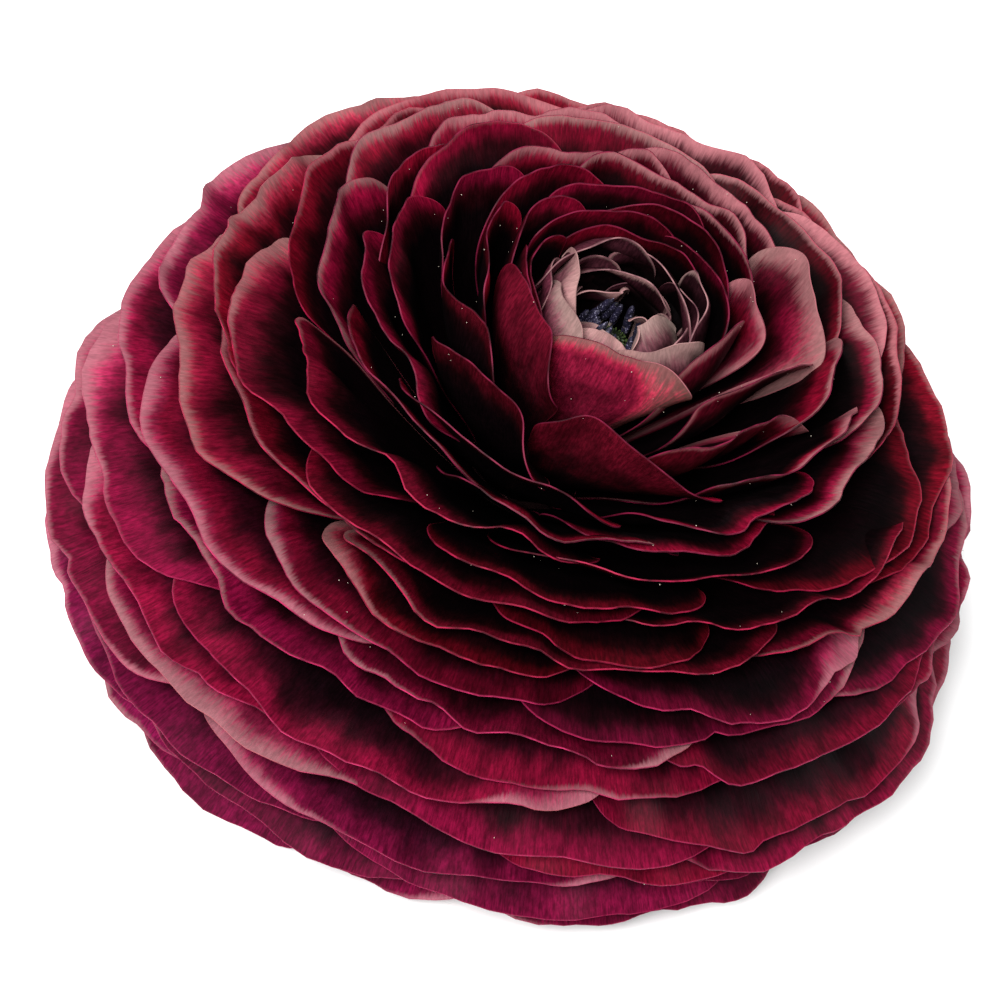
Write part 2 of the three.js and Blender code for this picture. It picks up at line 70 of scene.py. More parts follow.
# Petals of the heart, each placed one by one: station, azimuth and half width in degrees,
# tilt of its right side outwards, flare of the left and of the right margin, length, and
# the width of its pale tip in millimetres.
# The pale tip in these rows is partly the paler margin and partly painted sheen.
HEART = (
    (1.75, 95, 52, 0.0, 0.0, 0.0, 0.97, 0.05),
    (1.9, 185, 44, 0.0, 0.0, 0.0, 0.98, 0.05),
    (2.0, 279, 42, -0.05, 0.2, 1.5, 1.0, 1.0),
    (2.1, 45, 46, 0.0, 0.0, 0.2, 0.98, 0.05),
    (2.25, 118, 46, 0.0, 0.0, 0.0, 0.99, 0.05),
    (2.4, 205, 34, 0.1, 0.0, 0.2, 0.98, 0.05),
    (2.5, 343, 30, 0.15, 0.0, 0.2, 1.0, 0.8),
    (2.55, 75, 50, 0.0, 0.0, 0.0, 1.0, 0.05),
    (2.7, 160, 38, 0.0, 0.0, 0.0, 0.99, 0.05),
    (2.8, 228, 36, 0.1, 0.0, 0.8, 1.0, 0.05),
    (2.9, 22, 20, 0.0, 0.5, -0.3, 1.0, 1.7),
    (2.95, 102, 46, 0.0, 0.0, 0.0, 1.0, 0.05),
    (3.1, 187, 34, 0.0, 0.0, 0.15, 0.99, 0.05),
    (3.15, 55, 40, 0.1, 0.0, 0.1, 1.0, 0.6),
    (3.25, 140, 36, 0.0, 0.0, 0.0, 1.0, 0.05),
    (3.4, 85, 42, 0.0, 0.0, 0.0, 1.0, 0.8),
    (3.45, 346, 27, 0.35, 0.0, 0.4, 0.97, 0.7),
    (3.55, 217, 35, 0.0, 0.0, 0.35, 1.0, 0.05),
    (3.9, 290, 28, 0.7, 0.4, 0.15, 0.97, 0.05),
    (3.65, 168, 32, 0.0, 0.0, 0.0, 1.0, 0.05),
    (3.7, 118, 36, 0.0, 0.1, 0.0, 1.0, 0.9),
    (3.8, 30, 22, 0.1, 0.4, -0.3, 1.02, 2.3),
    (3.85, 326, 31, 0.05, 0.0, 0.8, 0.97, 0.5),
    (3.93, 76, 32, 0.0, 0.0, 0.0, 1.0, 1.2),
    (3.9, 248, 26, 0.05, 0.0, 0.9, 0.97, 0.05),
    (3.95, 196, 32, 0.0, 0.0, 0.2, 1.0, 0.05),
    (4.02, 148, 34, 0.0, 0.0, 0.0, 1.01, 0.3),
    (4.08, 2, 26, 0.1, 0.0, 0.4, 1.0, 0.7),
    (4.15, 102, 34, 0.05, 0.0, 0.0, 1.0, 0.8),
    (4.22, 218, 32, 0.0, 0.0, 0.35, 1.0, 0.05),
    (4.3, 172, 32, -0.05, 0.0, 0.1, 1.0, 0.05),
    (4.36, 52, 33, 0.0, 0.1, 0.0, 1.0, 0.5),
    (4.4, 342, 29, 0.15, 0.0, 0.3, 0.98, 0.8),
    (4.45, 260, 32, 0.0, 0.0, 0.45, 0.98, 0.05),
    (4.52, 126, 32, 0.05, 0.0, 0.0, 1.0, 1.0),
    (4.58, 14, 28, 0.05, 0.0, 0.2, 1.0, 1.0),
    (4.8, 303, 28, 0.0, 0.0, 0.1, 0.96, 0.05),
    (4.66, 236, 31, 0.05, 0.0, 0.3, 0.98, 0.4),
    (4.7, 84, 32, -0.05, 0.0, 0.0, 1.0, 1.2),
    (4.75, 194, 31, 0.05, 0.0, 0.1, 1.0, 0.8),
    (4.8, 346, 27, 0.0, 0.0, 0.2, 1.0, 1.0),
    (4.82, 152, 30, -0.05, 0.0, 0.0, 1.0, 0.8),
    (4.85, 40, 29, 0.0, 0.0, 0.1, 1.0, 1.3),
    (4.88, 278, 28, 0.05, 0.0, 0.1, 0.98, 0.5),
)

# Crumpled flaps that close over the stamens, listed in the same way, and how far in
# millimetres each is bent over.
EYE_FLAPS = (
    (0.5, 140, 50, 0.3, 0.3, 0.0, 1.05, 1.6, 2.8),
    (1.0, 192, 44, -0.3, 0.4, 0.0, 1.04, 2.4, 1.4),
    (0.2, 243, 60, 0.3, 0.0, 0.4, 1.0, 1.8, 2.2),
    (0.8, 262, 36, -0.4, 0.0, 0.5, 0.97, 1.6, 3.0),
    (0.7, 338, 42, 0.4, 0.5, 0.0, 1.04, 2.4, 3.2),
    (0.35, 22, 46, -0.4, 0.0, 0.3, 1.04, 1.6, 3.0),
    (0.9, 95, 52, 0.2, 0.0, 0.0, 1.04, 0.8, 2.4),
    (1.25, 60, 52, 0.1, 0.0, 0.0, 1.02, 0.3, 1.6),
    (1.3, 214, 44, 0.2, 0.0, 0.3, 1.02, 1.4, 1.0),
    (1.4, 310, 46, 0.1, 0.0, 0.4, 1.0, 1.6, 1.0),
    (1.45, 130, 56, 0.0, 0.0, 0.0, 1.04, 0.3, 1.2),
    (1.5, 20, 40, 0.2, 0.2, 0.0, 1.02, 0.4, 1.0),
)
FIRST_FLAP_RANK = 200

# Petals that stand between those of the spiral on the near side, where this bloom has its
# layers closest together, set where there is most room: rank, station, azimuth and half width
# in degrees. The rank picks a petal's own draws.
CLOSE_PETALS = (
    (301, 4.59, 318, 26), (303, 5.54, 283, 26), (325, 5.96, 291, 21), (327, 6.38, 269, 26),
    (309, 6.57, 314, 26),
)

# Whorls: the CAD node, its first and last station, and its number of petals. The heart's
# petals are those of the list above.
WHORLS = (
    ("eye_petals", 0.2, 1.1, 11),
    ("heart_petals", 1.75, 4.88, len(HEART)),
    ("inner_petals", 5.18, 6.33, 20),
    ("outer_petals", 6.63, 8.93, 43),
    ("guard_petals", 9.23, 11.9, 36),
)
GOLDEN_ANGLE = math.radians(137.508)
FIRST_AZIMUTH = math.radians(248)
SEED = 7

# Petal outline and liveliness, as in the solids.
CLAW = 0.66
RIM_ROUND = 0.2
ROUND_JITTER = 0.3
SKEW = 0.025
AZIMUTH_JITTER = 0.16
WIDTH_JITTER = 0.12
LENGTH_JITTER = 0.012
SIDE_TILT = 0.09
CUPPING = 0.07
LEAN_JITTER = 0.05
WAVE = 0.03
WAVE_LENGTH = 15.0
ROOM = 0.09

# The lopsided habit of this bloom.
SPREAD = {"cos1": 0.07, "sin1": -0.035, "sin2": 0.045, "sin3": -0.015}
SAG = {"cos1": -2.8, "sin1": 0.6}
SAG_FADES_BELOW = 14.0
EYE_SHIFT = (4.5, 1.6)

# Stem stub, receptacle and sepals, as in the solids.
CUT_HEIGHT = 1.0
STEM_RADIUS = 3.1
NECK_HEIGHT = 6.9
TIP_HEIGHT = 29.2
CLEARANCE = 0.3
STEM_RIBS = 14
SEPAL_COUNT = 5
SEPAL_RING = 1.3
SEPAL_HEIGHT = 5.9
SEPAL_REACH = 14.0
SEPAL_DROOP = 1.2
SEPAL_HALF_WIDTH = 3.6

# The organs in the eye.
CARPEL_RADIUS = 2.4
CARPEL_HEIGHT = 8.6
STAMEN_COUNT = 16
EXTRA_STAMENS = 14
COLLAR = (2.7, 4.0, 1.1)
STAMEN_TOP = 40.2
STAMEN_LEAN = 1.3
STAMEN_SHAPE = (
    (0, 0.0), (0.02, 0.17), (0.64, 0.12), (0.69, 0.2), (0.74, 0.4), (0.86, 0.44), (0.95, 0.34),
    (0.99, 0.14), (1, 0.0),
)
POLLEN_GRAINS = 520
POLLEN_RADIUS = 0.04
POLLEN_PLAY = 0.018
POLLEN_LIFT = 0.24
DUSTED_STATIONS = (1.9, 9.2)

# Fine form that only the dressed petals have, in millimetres. Ripples of the rim and pleats of
# the face are each a wave length and a height.
THICK_MIDDLE = 0.36
THICK_RIM = 0.12
THICKENS_OVER = 5.0
RIPPLES = ((19.0, 0.46), (7.3, 0.16), (2.7, 0.05))
LENGTH_PLAY = 1.0
NOTCH_DEPTH = 1.1
PLEATS = ((12.5, 0.42), (6.1, 0.15), (2.4, 0.028))
EYE_CRUMPLE = 0.34
CRUMPLE = 0.05
NARROW_PETAL = 12.0
LOWEST = 0.02
LOWEST_FACES_APART = 0.1
# Shares of the way from root to rim, and leaves that a rim is turned outwards by.
ROOT_START = 0.06
CLAW_END = 0.7
LIP_START = 0.78
LIP = 0.2
# Quads across and along a blade, how they crowd towards the rim, and how blades are shared out.
ACROSS = 58
ALONG = 20
CROWDING = 0.62
PETALS_A_PIECE = 12

# Paleness of the rims, partly the petals' own paler margin and partly painted sheen: the width
# of the pale band in millimetres by station, and the parts of the bloom that it shows on, each an
# azimuth and a spread in degrees and a share. These parts are the sides that face the lamps, so
# the band there is a painted highlight. The low ones lie between two stations. Some petals
# further out have one pale corner.
PALE_STATIONS = (0, 1, 3, 4.2, 5, 7, 9, 12)
PALE_WIDTHS = (2.0, 0.3, 0.2, 0.6, 1.1, 2.1, 3.1, 3.6)
SHEEN_SIDES = ((172, 38, 0.72), (24, 30, 0.4), (95, 40, 0.6))
PALE_WIDENS = 10
SHEEN_LOW_SIDES = (
    (234, 27, 0.7, 5.7, 7.5), (250, 13, 0.8, 8.3, 9.6), (340, 12, 0.7, 5.9, 7.0),
    (293, 13, 0.35, 7.1, 8.0), (290, 12, 0.6, 10.6, 12.0),
)
PALE_CORNERS = 0.42
# Where one end of a rim is paler than the other, a painted highlight on the end that faces a lamp,
# each an azimuth and a spread in degrees.
LOW_ENDS_SHEEN = (190, 60)
HIGH_ENDS_SHEEN = (300, 50)
# How many millimetres the red reaches below the rim before it turns nearly black, painted shade
# of the crevice under the next petal, by station, and on some petals of the heart by their place
# in its list. It reaches less far on the shady side and further on another.
SHADE_START_STATIONS = (0, 1.5, 2, 4.5, 6.5, 8.5, 12)
SHADE_STARTS = (5.0, 5.0, 2.6, 3.0, 3.8, 5.2, 8.0)
HEART_SHADE_STARTS = {2: 34.0, 6: 6.0, 9: 18.0, 18: 20.0, 16: 6.0, 10: 6.0, 21: 7.0, 22: 8.0, 27: 5.0}
SHADY_SIDE = (352, 42)
SHADY_SHARE = 0.45
DEEP_RED_SIDE = (228, 36)
DEEP_RED_SHARE = 0.3
# Where the outer petals turn more magenta.
MAGENTA_SIDE = (240, 60)
# How bright some petals of the heart are against the rest, painted light on petals that lie in
# shade, by their place in its list, and the darker parts of the bloom, painted shade: an azimuth
# and a spread in degrees, a share, and the stations that they lie between.
PAINTED_LIGHT_TONES = {2: 4.0, 18: 2.0, 9: 2.2, 22: 1.4}
PAINTED_SHADE_SIDES = ((66, 74, 0.9, -2.0, 6.1), (288, 50, 0.52, 4.1, 7.8), (250, 56, 0.28, 7.9, 14.0))

# Camera, fitted to the photo: it looks down on the bloom, and the bloom leans right. The aim
# and all distances are in millimetres.
CAMERA_ELEVATION = math.radians(46)
CAMERA_ROLL = math.radians(22)
CAMERA_DISTANCE = 280.0
FRAME_WIDTH = 95.3
SENSOR_WIDTH = 36.0
AIM = (-2.2, -5.3)
TARGET_HEIGHT = 22.0

# Studio, in metres and watts: each light's place, diameter and power.
LIGHTS = {
    "window_left": ((-0.45, 0.2, 0.55), 0.3, 2.9),
    "window_right": ((0.5, 0.3, 0.4), 0.25, 1.8),
    "front_fill": ((-0.12, -0.45, 0.52), 0.25, 8.5),
}
LIGHT_TARGET = (0, 0, 0.02)
SKY_STRENGTH = 0.25
FLOOR_REACH = 2.0
FLOOR_WHITE = (0.9, 0.9, 0.9, 1)


def draw(rank, purpose):
    """A repeatable number between -1 and 1 for one petal, stamen or grain and one purpose.

    A purpose is any whole number below 64 that no other use has. Those up to 8 and from 40
    to 42 shape the solids too."""
    mask = 0xFFFFFFFF
    a = (rank * 64 + purpose + SEED * 65536 + 0x6D2B79F5) & mask
    t = ((a ^ (a >> 15)) * (1 | a)) & mask
    t = ((t + (((t ^ (t >> 7)) * (61 | t)) & mask)) ^ t) & mask
    return ((t ^ (t >> 14)) & mask) / 4294967296 * 2 - 1


def smooth(x):
    c = np.clip(x, 0.0, 1.0)
    return c * c * (3 - 2 * c)


def wrapped(angle):
    return (angle + math.pi) % (2 * math.pi) - math.pi


def near_azimuth(azimuth, centre, spread):
    """1 at an azimuth given in degrees, falling to 0 away from it."""
    return np.exp(-(wrapped(azimuth - math.radians(centre)) / math.radians(spread)) ** 2)


def station(u):
    """Columns of STATIONS at fractional places along the list, on a smooth curve."""
    last = len(STATIONS) - 1
    v = np.clip(np.atleast_1d(u), 0, last - 1e-9)
    k = np.floor(v).astype(int)
    f = (v - k)[:, None]
    before, start, end, after = (
        STATIONS[np.clip(k + step, 0, last)] for step in (-1, 0, 1, 2)
    )
    g = 1 - f
    columns = (
        (1 + 2 * f) * g * g * start
        + f * g * g * (end - before) / 2
        + f * f * (3 - 2 * f) * end
        - f * f * g * (after - start) / 2
    )
    return columns.T


def leaf(u, t):
    """Radius and height on leaf u at share t of the way from root to rim."""
    rim_r, drop, rim_lean, root_r, root_z, root_lean, _ = station(u)
    rim_z = BLOOM_HEIGHT - drop
    bow = ARCH * np.hypot(rim_r - root_r, rim_z - root_z)
    a = np.radians(root_lean)
    b = np.radians(rim_lean)
    s = 1 - t
    root = (1 + 2 * t) * s * s
    rim = t * t * (3 - 2 * t)
    out = bow * t * s * s
    back = -bow * t * t * s
    radius = root * root_r + rim * rim_r + out * np.cos(a) + back * np.cos(b)
    height = root * root_z + rim * rim_z + out * np.sin(a) + back * np.sin(b)
    return radius, height


def habit(r, azimuth, z):
    """Bends the round, even bloom into its lopsided habit."""
    share = (r / BLOOM_RADIUS) ** 2
    spread = 1 + share * (
        SPREAD["cos1"] * np.cos(azimuth)
        + SPREAD["sin1"] * np.sin(azimuth)
        + SPREAD["sin2"] * np.sin(2 * azimuth)
        + SPREAD["sin3"] * np.sin(3 * azimuth)
    )
    rise = smooth((z - 8) / (BLOOM_HEIGHT - 8))
    inward = rise * np.maximum(0, 1 - r / BLOOM_RADIUS)
    sag = share * smooth(z / SAG_FADES_BELOW)
    x = r * spread * np.cos(azimuth) + EYE_SHIFT[0] * inward
    y = r * spread * np.sin(azimuth) + EYE_SHIFT[1] * inward
    z = z + sag * (SAG["cos1"] * np.cos(azimuth) + SAG["sin1"] * np.sin(azimuth))
    return np.stack([x, y, z], axis=-1)


def place_by_hand(petal, row):
    """Sets a petal from a row of HEART, or of EYE_FLAPS with its bend."""
    u, azimuth, half, tilt, left, right, length, pale, *bend = row
    petal.update(u=u, azimuth=math.radians(azimuth), half_angle=math.radians(half), tilt=tilt,
                 left=left, right=right, length=length, pale=pale, rim_radius=station(u)[0, 0],
                 bend=bend[0] if bend else 0.0)


def list_petals():
    """All petals in order of rank, each with its leaf, azimuth, width and turned margins."""
    petals = []
    for whorl, first, last, count in WHORLS:
        for n in range(count):
            rank = len(petals)
            petal = {"whorl": whorl, "rank": rank, "floor": first - ROOM, "limit": last + ROOM,
                     "tilt": SIDE_TILT * draw(rank, 3), "left": 0.0, "right": 0.0, "pale": None}
            if whorl == "heart_petals":
                place_by_hand(petal, HEART[n])
            else:
                u = first + (last - first) * n / (count - 1)
                rim_r, *_, half_width = station(u)[:, 0]
                jitter = AZIMUTH_JITTER * draw(rank, 0)
                petal.update(
                    u=u,
                    azimuth=FIRST_AZIMUTH + rank * GOLDEN_ANGLE + jitter,
                    half_angle=(1 + WIDTH_JITTER * draw(rank, 1)) * half_width / rim_r,
                    length=1 + LENGTH_JITTER * (draw(rank, 7) - 1),
                    rim_radius=rim_r,
                )
            petals.append(petal)
    for n, row in enumerate(EYE_FLAPS):
        petal = {"whorl": "eye_petals", "rank": FIRST_FLAP_RANK + n, "floor": -1.0, "limit": 1.7}
        place_by_hand(petal, row)
        petals.append(petal)
    for rank, u, azimuth, half in CLOSE_PETALS:
        whorl, first, last, _ = next(row for row in WHORLS if row[2] + ROOM > u)
        petal = {"whorl": whorl, "rank": rank, "floor": first - ROOM, "limit": last + ROOM}
        length = 1 + LENGTH_JITTER * (draw(rank, 7) - 1)
        place_by_hand(petal, (u, azimuth, half, 0.0, 0.0, 0.0, length, None))
        petals.append(petal)
    return petals


def rim_reach(petal, side):
    """How far up its leaf a petal reaches at this side of its middle."""
    rank = petal["rank"]
    rounding = RIM_ROUND * (1 + ROUND_JITTER * draw(rank, 6))
    flat = np.sqrt(np.maximum(0, 1 - np.abs(side) ** 3))
    return petal["length"] * (1 - rounding * (1 - flat) + SKEW * side * draw(rank, 8) * flat)


def eased(petal, shift):
    """Eases a shift towards the outermost or innermost leaf that the whorl may use."""
    room = np.where(shift > 0, petal["limit"] - petal["u"], petal["u"] - petal["floor"])
    return room * np.tanh(shift / room)


def claw(t):
    """Width of a petal at share t of its length, against its full width."""
    return CLAW + (1 - CLAW) * smooth(t / CLAW_END)


def half_width_of(petal):
    return petal["half_angle"] * petal["rim_radius"]


def petal_points(petal, side, t):
    """Points of a petal's middle surface: side is -1 to 1 across it, t root to rim."""
    rank = petal["rank"]
    azimuth = petal["azimuth"] + side * petal["half_angle"] * claw(t)
    free = t * t
    across_mm = side * petal["half_angle"] * petal["rim_radius"]
    wave = np.sin(2 * math.pi * across_mm / WAVE_LENGTH + math.pi * draw(rank, 2))
    turned = petal["right"] * smooth((side - 0.25) / 0.75) ** 2
    turned = turned + petal["left"] * smooth((-side - 0.25) / 0.75) ** 2
    shift = free * (
        petal["tilt"] * side
        + turned * smooth((t - 0.3) / 0.6)
        + CUPPING * (side * side - 0.35) * draw(rank, 4)
        + LEAN_JITTER * draw(rank, 5)
    ) + WAVE * wave * smooth((t - 0.5) / 0.5)
    lip = petal.get("lip", 0.0) * smooth((t - LIP_START) / (1 - LIP_START)) ** 2
    r, z = leaf(petal["u"] + eased(petal, shift) + lip, t)
    r = r - petal.get("bend", 0.0) * smooth((t - 0.55) / 0.5) ** 2
    return habit(r, azimuth, z)


def finished_mesh(bm, name):
    mesh = bpy.data.meshes.new(name)
    bm.to_mesh(mesh)
    bm.free()
    return mesh


def blade_template(across, along):
    """A flat slab of one unit of thickness, which every blade is shaped from."""
    bm = bmesh.new()
    bmesh.ops.create_grid(bm, x_segments=across, y_segments=along, size=1.0)
    made = bmesh.ops.extrude_face_region(bm, geom=list(bm.faces), use_keep_orig=True)
    lifted = [g for g in made["geom"] if isinstance(g, bmesh.types.BMVert)]
    bmesh.ops.translate(bm, verts=lifted, vec=(0, 0, 1))
    bmesh.ops.recalc_face_normals(bm, faces=bm.faces)
    for face in bm.faces:
        face.smooth = True
        level = face.normal.z
        face.material_index = 0 if level > 0.5 else 1 if level < -0.5 else 2
    for edge in bm.edges:
        kinds = {face.material_index for face in edge.link_faces}
        edge.smooth = len(kinds) == 1
    return finished_mesh(bm, "blade_template")


def ball_template(sides, rings):
    """A closed ball of rings from pole to pole, which lathes and rods are shaped from."""
    bm = bmesh.new()
    bmesh.ops.create_uvsphere(bm, u_segments=sides, v_segments=rings, radius=1.0)
    for face in bm.faces:
        face.smooth = True
    return finished_mesh(bm, "ball_template")


def corners_of(mesh):
    places = np.zeros(len(mesh.vertices) * 3)
    mesh.vertices.foreach_get("co", places)
    return places.reshape(-1, 3)


def polar_of(mesh):
    """Turn round the axis and share of the way from the low to the high pole."""
    corners = corners_of(mesh)
    turn = np.arctan2(corners[:, 1], corners[:, 0])
    share = np.arccos(np.clip(-corners[:, 2], -1, 1)) / math.pi
    return turn, share


RING_SECTION = 0.1


def ring_template(sides, segments):
    """A closed ring of unit radius round the axis, with a thin round section."""
    bm = bmesh.new()
    bmesh.ops.create_circle(bm, segments=sides, radius=RING_SECTION, cap_ends=False)
    for vert in bm.verts:
        vert.co = (1 + vert.co.x, 0, vert.co.y)
    bmesh.ops.spin(bm, geom=list(bm.verts) + list(bm.edges), cent=(0, 0, 0), axis=(0, 0, 1),
                   angle=2 * math.pi, steps=segments)
    bmesh.ops.remove_doubles(bm, verts=bm.verts, dist=1e-5)
    bmesh.ops.recalc_face_normals(bm, faces=bm.faces)
    for face in bm.faces:
        face.smooth = True
    return finished_mesh(bm, "ring_template")


def ring_places(template, radius, half_width, middle, half_height):
    """Places on a ring template that is brought to the given radius and section."""
    corners = corners_of(template)
    turn = np.arctan2(corners[:, 1], corners[:, 0])
    out = (np.hypot(corners[:, 0], corners[:, 1]) - 1) / RING_SECTION
    height = middle + half_height * corners[:, 2] / RING_SECTION
    return habit(radius + half_width * out, turn, height)


def lathe_places(turn, share, profile, ribs=0.0):
    """Places on a lathe: share runs along the profile of radius and height."""
    line = np.array(profile, dtype=float)
    run = np.concatenate([[0], np.cumsum(np.hypot(*np.diff(line, axis=0).T))])
    r = np.interp(share * run[-1], run, line[:, 0])
    z = np.interp(share * run[-1], run, line[:, 1])
    r = r * (1 + ribs * np.cos(STEM_RIBS * turn) * (z < NECK_HEIGHT + 2))
    return habit(r, turn, z)


def rim_detail(petal, lateral):
    """Ripples and the odd notch of a rim, in millimetres of length."""
    rank = petal["rank"]
    strength = 0.95 + 0.5 * draw(rank, 20)
    detail = LENGTH_PLAY * draw(rank, 28) * smooth((petal["u"] - 4.5) / 1.5)
    for n, (length, height) in enumerate(RIPPLES):
        phase = math.pi * draw(rank, 21 + n)
        uneven = 0.9 * np.sin(2 * math.pi * lateral / (2.6 * length) + 2 * phase)
        wave = np.sin(2 * math.pi * lateral / length + phase + uneven)
        detail = detail + strength * height * wave
    if draw(rank, 24) > 0.5 and petal["pale"] is None:
        gap = (lateral - 0.7 * half_width_of(petal) * draw(rank, 25)) / (1.4 + 0.6 * draw(rank, 26))
        detail = detail - NOTCH_DEPTH * (0.6 + 0.4 * draw(rank, 27)) * np.exp(-gap ** 2)
    return detail


def surface_detail(petal, lateral, from_rim, t):
    """Pleats that run up a petal and the crumple near its rim, in millimetres off its face."""
    rank = petal["rank"]
    grown = smooth((t - 0.35) / 0.6)
    detail = 0
    for n, (length, height) in enumerate(PLEATS):
        phase = math.pi * draw(rank, 30 + n)
        bend = 0.9 * np.sin(from_rim / (4.3 + draw(rank, 34)) + 2 * phase)
        detail = detail + height * np.sin(2 * math.pi * lateral / length + phase + bend)
    crumple = np.sin(from_rim / 1.9 + lateral / (3.1 + draw(rank, 35)) + 3 * draw(rank, 36))
    if petal["whorl"] == "eye_petals":
        tightness = 0.7 + 0.3 * draw(rank, 38)
        fold = np.sin(tightness * lateral + 1.6 * np.sin(from_rim * 0.8 + rank) + rank)
        return grown * EYE_CRUMPLE * (fold + 0.5 * crumple)
    return grown * (detail * (0.9 + 0.6 * draw(rank, 37)) + CRUMPLE * crumple)


def shape_petal(petal, slab):
    """Places of one petal's vertices, with the data that its skin is coloured by.

    Fan holds the place across the petal and below its rim, and its rank. Look and mood are
    those of petal_material."""
    rank = petal["rank"]
    u = petal["u"]
    side = np.sin(slab[:, 0] * math.pi / 2)
    along = (slab[:, 1] + 1) / 2
    length = 1.1 * np.hypot(petal["rim_radius"] - 5, 20)
    lateral = side * petal["half_angle"] * petal["rim_radius"]
    small = min(1.0, half_width_of(petal) / NARROW_PETAL)
    reach = rim_reach(petal, side) + small * rim_detail(petal, lateral) / length
    t = ROOT_START + (reach - ROOT_START) * along ** CROWDING
    from_rim = (reach - t) * length
    petal["lip"] = LIP * (0.7 + draw(rank, 9)) * (0.4 + 0.6 * smooth((u - 3) / 3))
    middle = petal_points(petal, side, t)
    step = 1e-3
    ds = np.where(side > 0, -step, step)
    dt = np.where(t > 0.5, -step, step)
    across = (petal_points(petal, side + ds, t) - middle) / ds[:, None]
    upward = (petal_points(petal, side, t + dt) - middle) / dt[:, None]
    normal = np.cross(across, upward)
    normal /= np.linalg.norm(normal, axis=1)[:, None]
    from_side = (1 - np.abs(side)) * claw(t) * petal["half_angle"] * petal["rim_radius"] * 1.6
    from_edge = np.minimum(from_rim, from_side)
    thick = THICK_RIM + (THICK_MIDDLE - THICK_RIM) * smooth(from_edge / THICKENS_OVER)
    face = np.where(slab[:, 2] > 0.5, 0.5, -0.5)
    relief_share = 1.0 if petal["whorl"] == "eye_petals" else small
    lift = surface_detail(petal, lateral, from_rim, t) * relief_share + thick * face
    places = middle + normal * lift[:, None]
    places[:, 2] = np.maximum(places[:, 2], LOWEST + LOWEST_FACES_APART * (face > 0))
    fan = np.stack([lateral, from_rim, np.full(len(t), float(rank))], axis=-1)
    return places, fan, *petal_colours(petal, side, from_edge)


def petal_colours(petal, side, from_edge):
    """The look and mood of one petal's vertices."""
    rank = petal["rank"]
    u = petal["u"]
    in_heart = rank - WHORLS[0][3]
    azimuth = petal["azimuth"] + side * petal["half_angle"]
    band = pale_band(petal, side, azimuth)
    magenta = 0.2 + 0.45 * draw(rank, 12) + (petal["right"] > 1)
    magenta = magenta + 0.4 * near_azimuth(azimuth, *MAGENTA_SIDE) * smooth((u - 6.5) / 3)
    grey = 0.15 + 0.45 * draw(rank, 13) + 0.35 * smooth((np.abs(side) - 0.6) / 0.4)
    # How far the red reaches below the rim before the painted shade turns it near black.
    shade_start = np.interp(u, SHADE_START_STATIONS, SHADE_STARTS) * (1 + 0.25 * draw(rank, 14))
    shade_start = shade_start * (1 - SHADY_SHARE * near_azimuth(azimuth, *SHADY_SIDE))
    shade_start = shade_start * (1 + DEEP_RED_SHARE * near_azimuth(azimuth, *DEEP_RED_SIDE))
    if petal["whorl"] == "heart_petals":
        shade_start = HEART_SHADE_STARTS.get(in_heart, shade_start)
    # Tone: random from petal to petal, with painted light on some petals of the heart and painted
    # shade over darker parts of the bloom.
    tone_light_and_shade = PAINTED_LIGHT_TONES.get(in_heart, 1.0) * (1 + 0.14 * draw(rank, 11))
    for centre, spread, most, first, last in PAINTED_SHADE_SIDES:
        among = smooth(u - first) * smooth(last - u)
        tone_light_and_shade = tone_light_and_shade * (1 - most * near_azimuth(azimuth, centre, spread) * among)
    same = np.ones(len(side))
    look = np.stack([band, from_edge, same * tone_light_and_shade], axis=-1)
    mood = np.stack([np.clip(magenta, 0, 1), np.clip(grey, 0, 1), same * shade_start], axis=-1)
    return look, mood


def pale_band(petal, side, azimuth):
    """Width of the pale band along a petal's rim, widest at the end that is turned outwards.

    The band is partly the paler margin and partly painted sheen, wider where the rim faces a lamp.
    """
    if petal["pale"] is not None:
        uneven = 0.3 * side * draw(petal["rank"], 15)
        turned_out = np.clip(petal["right"], 0, 1.5) * smooth((side - 0.2) / 0.6)
        return petal["pale"] * (1 + uneven + 3 * turned_out)
    width = np.interp(petal["u"], PALE_STATIONS, PALE_WIDTHS)
    share = 0.0
    # Painted sheen: the band is wider on the sides of the bloom that face the lamps.
    for centre, spread, most in SHEEN_SIDES:
        spread = spread + PALE_WIDENS * smooth((petal["u"] - 7) / 3)
        share = share + most * near_azimuth(azimuth, centre, spread)
    for centre, spread, most, first, last in SHEEN_LOW_SIDES:
        among = smooth((petal["u"] - first) / 0.4) * smooth((last - petal["u"]) / 0.4)
        share = share + most * near_azimuth(azimuth, centre, spread) * among
    corner = draw(petal["rank"], 16)
    if abs(corner) > 0.4 and petal["u"] > 6:
        share = share + PALE_CORNERS * smooth((side * np.sign(corner) - 0.35) / 0.5)
    # Painted highlight: the end of a rim that faces a lamp is paler.
    lean = near_azimuth(azimuth, *HIGH_ENDS_SHEEN) - near_azimuth(azimuth, *LOW_ENDS_SHEEN)
    ends = np.clip(1 + 0.85 * lean * side, 0.15, 1.9) + 0.12 * np.maximum(lean * side, 0)
    return 0.02 + width * share * ends * (1 + 0.55 * draw(petal["rank"], 10))


def add_object(name, mesh):
    piece = bpy.data.objects.new(name, mesh)
    bpy.context.scene.collection.objects.link(piece)
    return piece


def repeated(name, *runs):
    """A mesh of runs of copies, each a template and a count, ready to be shaped."""
    bm = bmesh.new()
    for template, count in runs:
        for _ in range(count):
            bm.from_mesh(template)
    return finished_mesh(bm, name)


def shaped_object(name, mesh, places, materials, **attributes):
    """Moves a mesh's vertices to their places in millimetres and gives it skins and data."""
    mesh.vertices.foreach_set("co", (places * MM).ravel())
    for key, values in attributes.items():
        mesh.attributes.new(key, "FLOAT_VECTOR", "POINT").data.foreach_set("vector", values.ravel())
    for material in materials:
        mesh.materials.append(material)
    mesh.update()
    return add_object(name, mesh)


